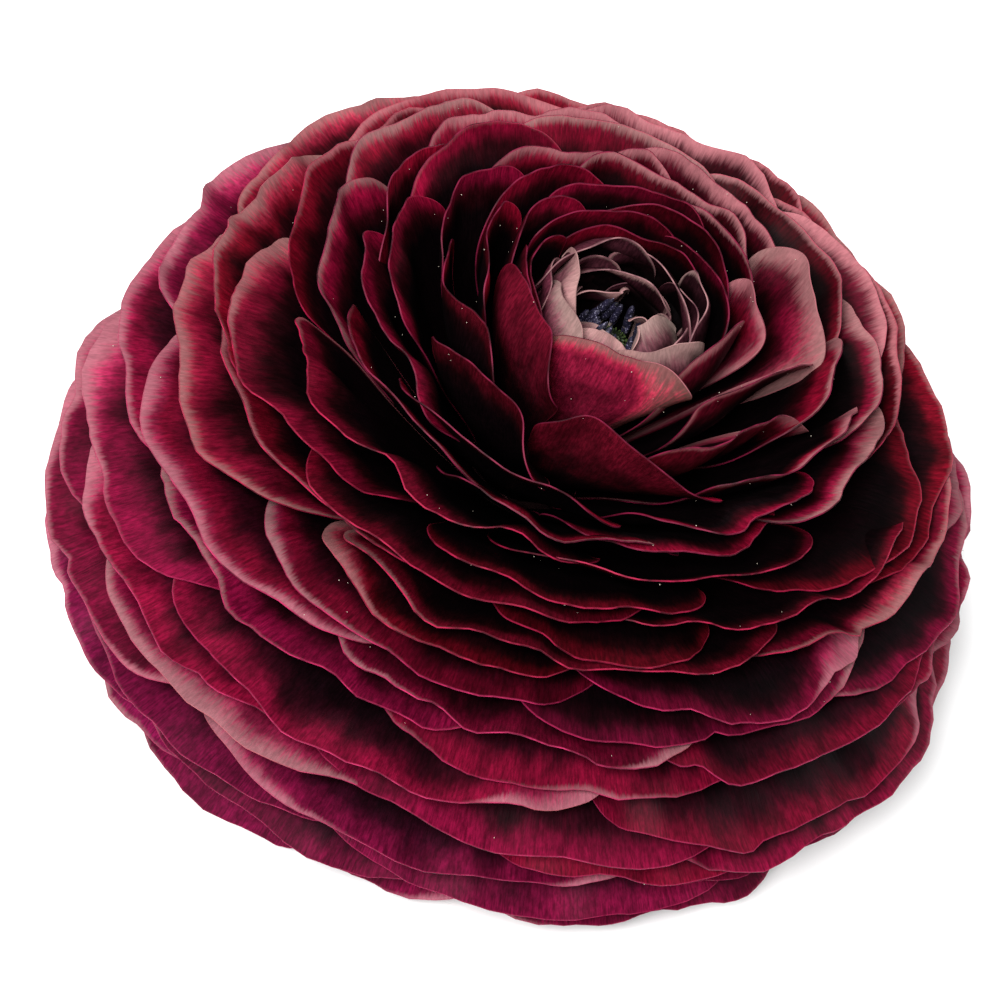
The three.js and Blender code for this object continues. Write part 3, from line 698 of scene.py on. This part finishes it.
def build_petals(name, petals, template, offset, materials):
    slab = corners_of(template)
    shaped = [shape_petal(petal, slab) for petal in petals]
    places, fan, look, mood = (np.concatenate(parts) for parts in zip(*shaped))
    mesh = repeated(name, (template, len(petals)))
    return shaped_object(name, mesh, places + offset, materials, fan=fan, look=look, mood=mood)


def build_stem(offset, material):
    """The stub with its dished cut end, and the receptacle that the petals grow from."""
    template = ball_template(72, 110)
    profile = [(0, CUT_HEIGHT + 0.5), (1.5, CUT_HEIGHT + 0.4), (2.3, CUT_HEIGHT + 0.03),
               (STEM_RADIUS - 0.15, CUT_HEIGHT), (STEM_RADIUS, CUT_HEIGHT + 0.2),
               (STEM_RADIUS, NECK_HEIGHT)]
    for _, _, _, root_r, root_z, _, _ in STATIONS[::-1]:
        profile.append((root_r - CLEARANCE - 0.1, root_z))
    profile += [(STATIONS[0][3] - 2 * CLEARANCE, TIP_HEIGHT), (0, TIP_HEIGHT)]
    turn, share = polar_of(template)
    places = lathe_places(turn, share, profile, 0.025)
    mesh = repeated("stem_dressed", (template, 1))
    return shaped_object("stem_dressed", mesh, places + offset, [material])


def sepal_places(number, slab):
    """A pointed blade with a raised midrib and turned-up sides, spreading from the ring."""
    root = STEM_RADIUS + CLEARANCE + SEPAL_RING / 2
    side = slab[:, 0]
    out = 0.02 + 0.98 * (slab[:, 1] + 1) / 2
    width = SEPAL_HALF_WIDTH * np.sin(math.pi * (0.18 + 0.76 * out)) * side
    r = root + (SEPAL_REACH - root) * out
    middle = 2 * math.pi * number / SEPAL_COUNT
    rise = 0.5 * side ** 2 * out - 0.25 * np.exp(-(side / 0.12) ** 2)
    waved = 0.12 * np.sin(9 * out + 2.2 * side + number)
    face = np.where(slab[:, 2] > 0.5, 0.5, -0.5) * 0.5
    z = SEPAL_HEIGHT + rise + waved - SEPAL_DROOP * out * out + face
    return habit(np.hypot(r, width), middle + np.arctan2(width, r), z)


def build_sepals(offset, material):
    blade = blade_template(14, 24)
    ring = ring_template(12, 60)
    places = [sepal_places(n, corners_of(blade)) for n in range(SEPAL_COUNT)]
    inner = STEM_RADIUS + CLEARANCE
    places.append(ring_places(ring, inner + SEPAL_RING / 2, SEPAL_RING / 2, SEPAL_HEIGHT, 0.45))
    mesh = repeated("sepals_dressed", (blade, SEPAL_COUNT), (ring, 1))
    mesh.polygons.foreach_set("material_index", [0] * len(mesh.polygons))
    return shaped_object("sepals_dressed", mesh, np.concatenate(places) + offset, [material])


def build_carpels(offset, material):
    """An egg of small beaked carpels, set along two families of spirals."""
    template = ball_template(120, 110)
    turn, share = polar_of(template)
    polar = share * math.pi
    lattice = np.cos(13 * turn - 42 * share) * np.cos(8 * turn + 42 * share)
    beak = smooth(lattice) * np.sin(polar) ** 0.5
    r = CARPEL_RADIUS * np.sin(polar) ** 0.7 - 0.1 + 0.34 * beak
    z = TIP_HEIGHT + CLEARANCE + CARPEL_HEIGHT * (1 - np.cos(polar)) / 2 + 0.25 * beak
    places = habit(np.maximum(r, 0) * (np.sin(polar) > 1e-3), turn, z)
    relief = np.stack([beak, share, turn], axis=-1)
    mesh = repeated("carpels_dressed", (template, 1))
    return shaped_object("carpels_dressed", mesh, places + offset, [material], organ=relief)


def stamen_places(number, turn, share):
    """A filament that leans in over the carpels and ends in a grooved anther."""
    extra = number >= STAMEN_COUNT
    count = EXTRA_STAMENS if extra else STAMEN_COUNT
    inner, outer, _ = COLLAR
    foot = TIP_HEIGHT + CLEARANCE + 0.4
    azimuth = 2 * math.pi * (number + 0.2 * draw(number, 40) + 0.5 * extra) / count
    top = STAMEN_TOP + 0.8 * draw(number, 41) - 1.1 * extra
    bend = STAMEN_LEAN + 0.2 * draw(number, 42) - 0.9 * extra
    thick = np.interp(share, *zip(*STAMEN_SHAPE))
    groove = 1 - 0.22 * np.cos(2 * turn) ** 2 * smooth((share - 0.68) / 0.05)
    r = (inner + outer) / 2 - bend * share ** 3
    out = r + thick * groove * np.cos(turn)
    aside = thick * groove * np.sin(turn) + 0.25 * np.sin(4 * share + number) * share
    turned = azimuth + np.arctan2(aside, out)
    return habit(np.hypot(out, aside), turned, foot + (top - foot) * share)


def build_stamens(offset, material):
    rod = ball_template(12, 30)
    ring = ring_template(12, 60)
    inner, outer, tall = COLLAR
    turn, share = polar_of(rod)
    count = STAMEN_COUNT + EXTRA_STAMENS
    places = [stamen_places(n, turn, share) for n in range(count)]
    low = TIP_HEIGHT + CLEARANCE
    places.append(ring_places(ring, (inner + outer) / 2, (outer - inner) / 2, low + tall / 2,
                              tall / 2))
    along = [np.stack([share, turn, np.full(len(turn), float(n))], axis=-1) for n in range(count)]
    along.append(np.zeros((len(ring.vertices), 3)))
    mesh = repeated("stamens_dressed", (rod, count), (ring, 1))
    return shaped_object("stamens_dressed", mesh, np.concatenate(places) + offset, [material],
                         organ=np.concatenate(along))


def build_pollen(petals, offset, material):
    """Grains of pollen, scattered on the petals round the eye."""
    bm = bmesh.new()
    bmesh.ops.create_icosphere(bm, subdivisions=1, radius=1.0)
    grain = finished_mesh(bm, "grain_template")
    ball = corners_of(grain)
    places = []
    for n in range(POLLEN_GRAINS):
        petal = petals[int((draw(n, 50) + 1) / 2 * len(petals))]
        side = np.array([0.85 * draw(n, 51)])
        t = rim_reach(petal, side) * (0.995 - 0.1 * (draw(n, 52) + 1) ** 2)
        here = petal_points(petal, side, t)
        across = petal_points(petal, side + 1e-3, t) - here
        upward = petal_points(petal, side, t + 1e-3) - here
        normal = np.cross(across, upward)
        normal /= np.linalg.norm(normal)
        size = POLLEN_RADIUS + POLLEN_PLAY * draw(n, 53)
        places.append(here + normal * (POLLEN_LIFT if n % 3 else -POLLEN_LIFT) + ball * size)
    mesh = repeated("pollen", (grain, POLLEN_GRAINS))
    return shaped_object("pollen", mesh, np.concatenate(places) + offset, [material])


class Value:
    """A shader socket that arithmetic can be written with."""

    def __init__(self, sheet, socket):
        self.sheet = sheet
        self.socket = socket

    def _math(self, operation, *inputs):
        return self.sheet.node("ShaderNodeMath", {"operation": operation}, *inputs)

    def __add__(self, other):
        return self._math("ADD", self, other)

    def __sub__(self, other):
        return self._math("SUBTRACT", self, other)

    def __rsub__(self, other):
        return self._math("SUBTRACT", other, self)

    def __mul__(self, other):
        return self._math("MULTIPLY", self, other)

    __radd__ = __add__
    __rmul__ = __mul__


class Sheet:
    """The node tree of one material, written as expressions."""

    def __init__(self, name):
        self.material = bpy.data.materials.new(name)
        self.material.use_nodes = True
        self.tree = self.material.node_tree
        self.tree.nodes.clear()

    def fill(self, socket, value):
        """Links a socket to a value of the sheet, or sets it to a plain one."""
        if isinstance(value, Value):
            self.tree.links.new(value.socket, socket)
        else:
            socket.default_value = value

    def node(self, kind, settings, *inputs, output=0, **named):
        """Adds a node: its settings first, then its inputs by place or by name."""
        made = self.tree.nodes.new(kind)
        for key, value in settings.items():
            setattr(made, key, value)
        pairs = list(enumerate(inputs)) + [(k.replace("_", " "), v) for k, v in named.items()]
        for key, value in pairs:
            self.fill(made.inputs[key], value)
        return Value(self, made.outputs[output])

    def attribute(self, name):
        return self.node("ShaderNodeAttribute", {"attribute_name": name}, output=1)

    def place(self):
        return self.node("ShaderNodeTexCoord", {}, output=3)

    def parts(self, vector):
        made = self.tree.nodes.new("ShaderNodeSeparateXYZ")
        self.tree.links.new(vector.socket, made.inputs[0])
        return [Value(self, made.outputs[n]) for n in range(3)]

    def vector(self, x, y, z):
        return self.node("ShaderNodeCombineXYZ", {}, x, y, z)

    def noise(self, place, scale, detail=2.0, roughness=0.5):
        return self.node("ShaderNodeTexNoise", {}, Vector=place, Scale=scale, Detail=detail,
                         Roughness=roughness)

    def between(self, value, low, high, start=0.0, end=1.0):
        """A smooth step of value from low to high."""
        settings = {"interpolation_type": "SMOOTHSTEP"}
        return self.node("ShaderNodeMapRange", settings, value, low, high, start, end)

    def mix(self, share, first, second):
        made = self.tree.nodes.new("ShaderNodeMix")
        made.data_type = "RGBA"
        for place, value in ((0, share), (6, first), (7, second)):
            self.fill(made.inputs[place], value)
        return Value(self, made.outputs[2])

    def scaled(self, skin, share):
        return self.node("ShaderNodeVectorMath", {"operation": "SCALE"}, skin, Scale=share)

    def bump(self, height, strength, distance):
        return self.node("ShaderNodeBump", {}, Strength=strength, Distance=distance, Height=height)

    def finish(self, **surface):
        shader = self.tree.nodes.new("ShaderNodeBsdfPrincipled")
        for key, value in surface.items():
            self.fill(shader.inputs[key.replace("_", " ")], value)
        output = self.tree.nodes.new("ShaderNodeOutputMaterial")
        self.tree.links.new(shader.outputs[0], output.inputs[0])
        return self.material


def colour(code):
    """Linear colour of a six-digit web colour."""
    channels = [int(code[n:n + 2], 16) / 255 for n in (0, 2, 4)]
    linear = [c / 12.92 if c <= 0.04045 else ((c + 0.055) / 1.055) ** 2.4 for c in channels]
    return (*linear, 1.0)


def petal_material(name, skins):
    """Satin petal skin: a flush that darkens through a red body to near black at the root, painted
    shade of the crevice under the next petal, and a soft pale tip, partly the paler margin and
    partly painted sheen.

    The look attribute holds the width of the tip band, the distance from the edge and the
    petal's tone with its painted light and shade; the mood attribute its shares of magenta and
    grey and how far the red reaches below the rim before the painted shade."""
    root_shade, body, flush, magenta, rosy_sheen, tip, grey_tip = (colour(code) for code in skins)
    sheet = Sheet(name)
    lateral, from_rim, rank = sheet.parts(sheet.attribute("fan"))
    band, from_edge, tone_light_and_shade = sheet.parts(sheet.attribute("look"))
    purple, grey, shade_start = sheet.parts(sheet.attribute("mood"))
    own = rank * 7.31
    streaks = sheet.noise(sheet.vector(lateral * 1.6, from_rim * 0.16, own), 1.0, 4.0, 0.65)
    fine = sheet.noise(sheet.vector(lateral * 6.0, from_rim * 0.38, own), 1.0, 2.0)
    cells = sheet.noise(sheet.vector(lateral * 3.2, from_rim * 1.1, own), 1.0, 2.0, 0.7)
    broad = sheet.noise(sheet.vector(lateral * 0.13, from_rim * 0.10, own), 1.0, 1.0)
    cloud = sheet.noise(sheet.vector(lateral * 0.3, from_rim * 0.22, own + 50), 1.0, 2.0)
    strokes = (fine - 0.5) * 2.6 + (streaks - 0.5) * 1.6
    edge = from_edge + strokes * (band * 0.42 + 0.08) + (0.5 - broad) * band * 1.4
    # The pale tip is partly the paler margin and partly painted sheen; a rosy painted sheen lies
    # just below it.
    tip_and_sheen = (1 - sheet.between(edge, band * 0.05, band * 1.25)) * sheet.between(band, 0.1, 0.7)
    rim_sheen = (1 - sheet.between(edge, band * 0.7, band * 2.0)) * sheet.between(band, 0.3, 1.5)
    # Painted shade: the red darkens below the rim from the flush through the body to near black, as
    # in the crevice under the next petal.
    fall = from_rim + strokes * shade_start * 0.2 + (0.5 - cloud) * shade_start * 0.6
    shade_mask = sheet.between(fall, shade_start * 0.3 + band * 0.8, shade_start * 1.15 + band * 1.3)
    lit_flush = 1 - sheet.between(fall, shade_start * 0.05 + band, shade_start * 0.65 + band)
    bright = sheet.mix(purple, flush, magenta)
    skin = sheet.mix(lit_flush, body, bright)
    skin = sheet.mix(shade_mask, skin, root_shade)
    skin = sheet.mix(rim_sheen, skin, rosy_sheen)
    veins = sheet.between(fine, 0.3, 0.7, 0.6, 1.18) * sheet.between(cloud, 0.25, 0.7, 0.62, 1.12)
    skin = sheet.scaled(skin, veins * tone_light_and_shade * sheet.between(cells, 0.3, 0.7, 0.68, 1.3))
    pale = sheet.mix(grey, tip, grey_tip)
    pale = sheet.scaled(pale, sheet.between(fine + cells, 0.7, 1.3, 0.78, 1.12))
    skin = sheet.mix(tip_and_sheen, skin, pale)
    # Painted highlight: a thin rosy or pale line along the very edge.
    rim = 1 - sheet.between(from_edge + (streaks - 0.5) * 0.1, 0.03, 0.13)
    edge_highlight = sheet.mix(sheet.between(band, 0.5, 2.0), rosy_sheen, pale)
    skin = sheet.mix(rim * sheet.between(streaks, 0.3, 0.7, 0.2, 0.8), skin, edge_highlight)
    relief = sheet.bump(fine + streaks, 0.3, 0.1 * MM)
    return sheet.finish(Base_Color=skin, Roughness=0.55, Normal=relief, Specular_IOR_Level=0.04)


def edge_material(name, light, dark, pale):
    """The cut-like rim of a petal, a thin line that is pale where the tip is pale, partly the paler
    margin and partly painted sheen.
    """
    sheet = Sheet(name)
    lateral, from_rim, rank = sheet.parts(sheet.attribute("fan"))
    band, _, _ = sheet.parts(sheet.attribute("look"))
    patches = sheet.noise(sheet.vector(lateral * 0.5, from_rim * 0.2, rank * 3.7), 1.0, 3.0)
    skin = sheet.mix(sheet.between(patches, 0.35, 0.65), colour(dark), colour(light))
    skin = sheet.mix(sheet.between(band, 0.8, 2.2), skin, colour(pale))
    return sheet.finish(Base_Color=skin, Roughness=0.55, Specular_IOR_Level=0.1,
                        Normal=sheet.bump(patches, 0.2, 0.05 * MM))


def mottled_material(name, dark, light, scale):
    """A mottled skin for the sepals and the pollen."""
    sheet = Sheet(name)
    place = sheet.place()
    mottle = sheet.noise(place, scale, 4.0)
    grain = sheet.noise(place, scale * 4, 2.0)
    skin = sheet.mix(sheet.between(mottle + (grain - 0.5) * 0.4, 0.3, 0.7), colour(dark),
                     colour(light))
    return sheet.finish(Base_Color=skin, Roughness=0.55, Specular_IOR_Level=0.3,
                        Normal=sheet.bump(mottle + grain, 0.4, 0.12 * MM))


def stem_material():
    """Pale green, with fine ridges along the stem and a wet, paler cut end, and near black above
    the neck, painted shade under the petals.
    """
    sheet = Sheet("stem_skin")
    x, y, z = sheet.parts(sheet.place())
    ridges = sheet.noise(sheet.vector(x * 2600, y * 2600, z * 120), 1.0, 3.0)
    blotch = sheet.noise(sheet.place(), 160.0, 3.0)
    skin = sheet.mix(sheet.between(ridges, 0.3, 0.7), colour("46602c"), colour("86a35c"))
    skin = sheet.mix(sheet.between(blotch, 0.45, 0.75, 0, 0.6), skin, colour("7a5a4a"))
    skin = sheet.mix(sheet.between(z, 0.0012, 0.0017, 0.75, 0), skin, colour("c2cf9c"))
    # Painted shade: near black above the neck, where the stem runs up under the petals.
    skin = sheet.mix(sheet.between(z, 0.0075, 0.0095), skin, colour("1c0a0c"))
    return sheet.finish(Base_Color=skin, Roughness=0.55, Specular_IOR_Level=0.3,
                        Normal=sheet.bump(ridges, 0.5, 0.15 * MM))


def stamen_material():
    """Pale filaments under blue-black anthers that are dusted with pollen."""
    sheet = Sheet("stamen_skin")
    share, _, _ = sheet.parts(sheet.attribute("organ"))
    mottle = sheet.noise(sheet.place(), 1500.0, 4.0)
    dust = sheet.noise(sheet.place(), 5200.0, 2.0)
    anther = sheet.mix(sheet.between(mottle, 0.3, 0.7), colour("07060d"), colour("1e1a30"))
    anther = sheet.mix(sheet.between(dust, 0.6, 0.7, 0, 0.7), anther, colour("8c86a0"))
    filament = sheet.mix(sheet.between(mottle, 0.3, 0.7), colour("6d5c60"), colour("b3a294"))
    skin = sheet.mix(sheet.between(share, 0.66, 0.71), filament, anther)
    return sheet.finish(Base_Color=skin, Roughness=0.6, Specular_IOR_Level=0.25,
                        Normal=sheet.bump(mottle + dust, 0.4, 0.08 * MM))


def carpel_material():
    """Dull green beaks with paler, yellowish tips, near black in the hollows between them, painted
    shade.
    """
    sheet = Sheet("carpel_skin")
    beak, _, _ = sheet.parts(sheet.attribute("organ"))
    mottle = sheet.noise(sheet.place(), 1300.0, 3.0)
    # Painted shade: near black in the hollows between the beaks.
    skin = sheet.mix(sheet.between(beak + (mottle - 0.5) * 0.5, 0.05, 0.5), colour("10180a"),
                     colour("3a4822"))
    skin = sheet.mix(sheet.between(beak, 0.65, 0.95, 0, 0.7), skin, colour("84865a"))
    return sheet.finish(Base_Color=skin, Roughness=0.5, Specular_IOR_Level=0.3,
                        Normal=sheet.bump(mottle, 0.4, 0.1 * MM))


def build_floor():
    bm = bmesh.new()
    bmesh.ops.create_grid(bm, x_segments=2, y_segments=2, size=FLOOR_REACH)
    mesh = finished_mesh(bm, "floor")
    sheet = Sheet("floor_white")
    mesh.materials.append(sheet.finish(Base_Color=FLOOR_WHITE, Roughness=0.8))
    floor = add_object("floor", mesh)


def build_camera(offset):
    back = Vector((0, -math.cos(CAMERA_ELEVATION), math.sin(CAMERA_ELEVATION)))
    right = Vector((1, 0, 0))
    up = back.cross(right)
    turned_right = math.cos(CAMERA_ROLL) * right + math.sin(CAMERA_ROLL) * up
    turned_up = -math.sin(CAMERA_ROLL) * right + math.cos(CAMERA_ROLL) * up
    aim = Vector((0, 0, TARGET_HEIGHT)) + Vector(offset)
    aim += turned_right * AIM[0] + turned_up * AIM[1]
    data = bpy.data.cameras.new("camera")
    data.sensor_width = SENSOR_WIDTH
    data.lens = SENSOR_WIDTH * CAMERA_DISTANCE / FRAME_WIDTH
    data.clip_start = 0.01
    data.clip_end = 20.0
    camera = bpy.data.objects.new("camera", data)
    bpy.context.scene.collection.objects.link(camera)
    axes = Matrix((turned_right, turned_up, back)).transposed().to_4x4()
    camera.matrix_world = Matrix.Translation((aim + back * CAMERA_DISTANCE) * MM) @ axes
    bpy.context.scene.camera = camera


def build_light(name, place, size, power):
    data = bpy.data.lights.new(name, "AREA")
    data.shape = "DISK"
    data.size = size
    data.energy = power
    lamp = bpy.data.objects.new(name, data)
    bpy.context.scene.collection.objects.link(lamp)
    way = Vector(LIGHT_TARGET) - Vector(place)
    turned = way.to_track_quat("-Z", "Y").to_matrix().to_4x4()
    lamp.matrix_world = Matrix.Translation(place) @ turned


def build_studio():
    world = bpy.data.worlds.new("studio")
    world.use_nodes = True
    background = world.node_tree.nodes["Background"]
    background.inputs["Color"].default_value = (1, 1, 1, 1)
    background.inputs["Strength"].default_value = SKY_STRENGTH
    scene = bpy.context.scene
    scene.world = world
    scene.view_settings.view_transform = "Standard"
    for name, (place, size, power) in LIGHTS.items():
        build_light(name, place, size, power)


# The stem stands on the axis of the petals, so its box gives the bloom's own origin.
low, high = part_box("stem")
offset = np.array([(low.x + high.x) / 2 / MM, (low.y + high.y) / 2 / MM, 0.0])

# Colours of a whorl's skins: root (the near black of the painted shade), body, flush, magenta
# flush, rosy sheen (a painted highlight), tip, greyish tip; the tips are partly the paler margin
# and partly painted sheen. Both faces of an eye petal look alike. A rim has a light and a dark
# colour.
EYE_SKIN = ("12070a", "2c1218", "5c2c38", "64283a", "7c4c54", "987270", "806e68")
FACE_SKINS = {
    "eye_petals": EYE_SKIN,
    "heart_petals": ("0a0305", "180407", "400510", "440718", "74182c", "8c5258", "6a4c44"),
    "inner_petals": ("0c0205", "2c040c", "720514", "720820", "88142c", "90444e", "704e48"),
    "outer_petals": ("100206", "3c040e", "8a0618", "8a082c", "a81a3c", "984a52", "74524c"),
    "guard_petals": ("160308", "420516", "86081c", "8a0936", "a61a42", "984c55", "785650"),
}
BACK_SKINS = {
    "eye_petals": EYE_SKIN,
    "heart_petals": ("0c0406", "380510", "880926", "8a0c38", "a02c48", "985c62", "785c58"),
    "inner_petals": ("0a0204", "240409", "600516", "640824", "90243a", "905258", "725550"),
    "outer_petals": ("0c0205", "2c0410", "640620", "680830", "902446", "925460", "745856"),
    "guard_petals": ("100308", "340519", "640826", "680a36", "902448", "925462", "745856"),
}
EDGE_SKINS = {
    "eye_petals": ("8c6466", "4c2c34"),
    "heart_petals": ("681430", "24040c"),
    "inner_petals": ("901638", "340612"),
    "outer_petals": ("a42250", "40081c"),
    "guard_petals": ("a42854", "44081e"),
}
TIP = 5
template = blade_template(ACROSS, ALONG)
all_petals = list_petals()
for whorl, *_ in WHORLS:
    own = [petal for petal in all_petals if petal["whorl"] == whorl]
    materials = [
        petal_material(whorl + "_face", FACE_SKINS[whorl]),
        petal_material(whorl + "_back", BACK_SKINS[whorl]),
        edge_material(whorl + "_edge", *EDGE_SKINS[whorl], FACE_SKINS[whorl][TIP]),
    ]
    groups = math.ceil(len(own) / PETALS_A_PIECE)
    for number in range(groups):
        group = own[number * len(own) // groups:(number + 1) * len(own) // groups]
        piece = build_petals(f"{whorl}_{number + 1}", group, template, offset, materials)
        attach(piece, "root")
        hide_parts(whorl)

sepal_skin = mottled_material("sepal_skin", "4e6630", "8fa864", 420.0)
pollen_skin = mottled_material("pollen_skin", "948a78", "d2c8b8", 9000.0)
organs = (
    (build_stem(offset, stem_material()), "stem", "stem_green"),
    (build_sepals(offset, sepal_skin), "sepals", "sepal_green"),
    (build_carpels(offset, carpel_material()), "carpels", "carpel_green"),
    (build_stamens(offset, stamen_material()), "stamens", "anther_dark"),
)
for piece, node, slot in organs:
    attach(piece, "root")
    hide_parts(node)
nearest, furthest = DUSTED_STATIONS
dusted = [petal for petal in all_petals if nearest < petal["u"] < furthest]
pollen = build_pollen(dusted, offset, pollen_skin)
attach(pollen, "root")

build_floor()
build_camera(offset)
build_studio()
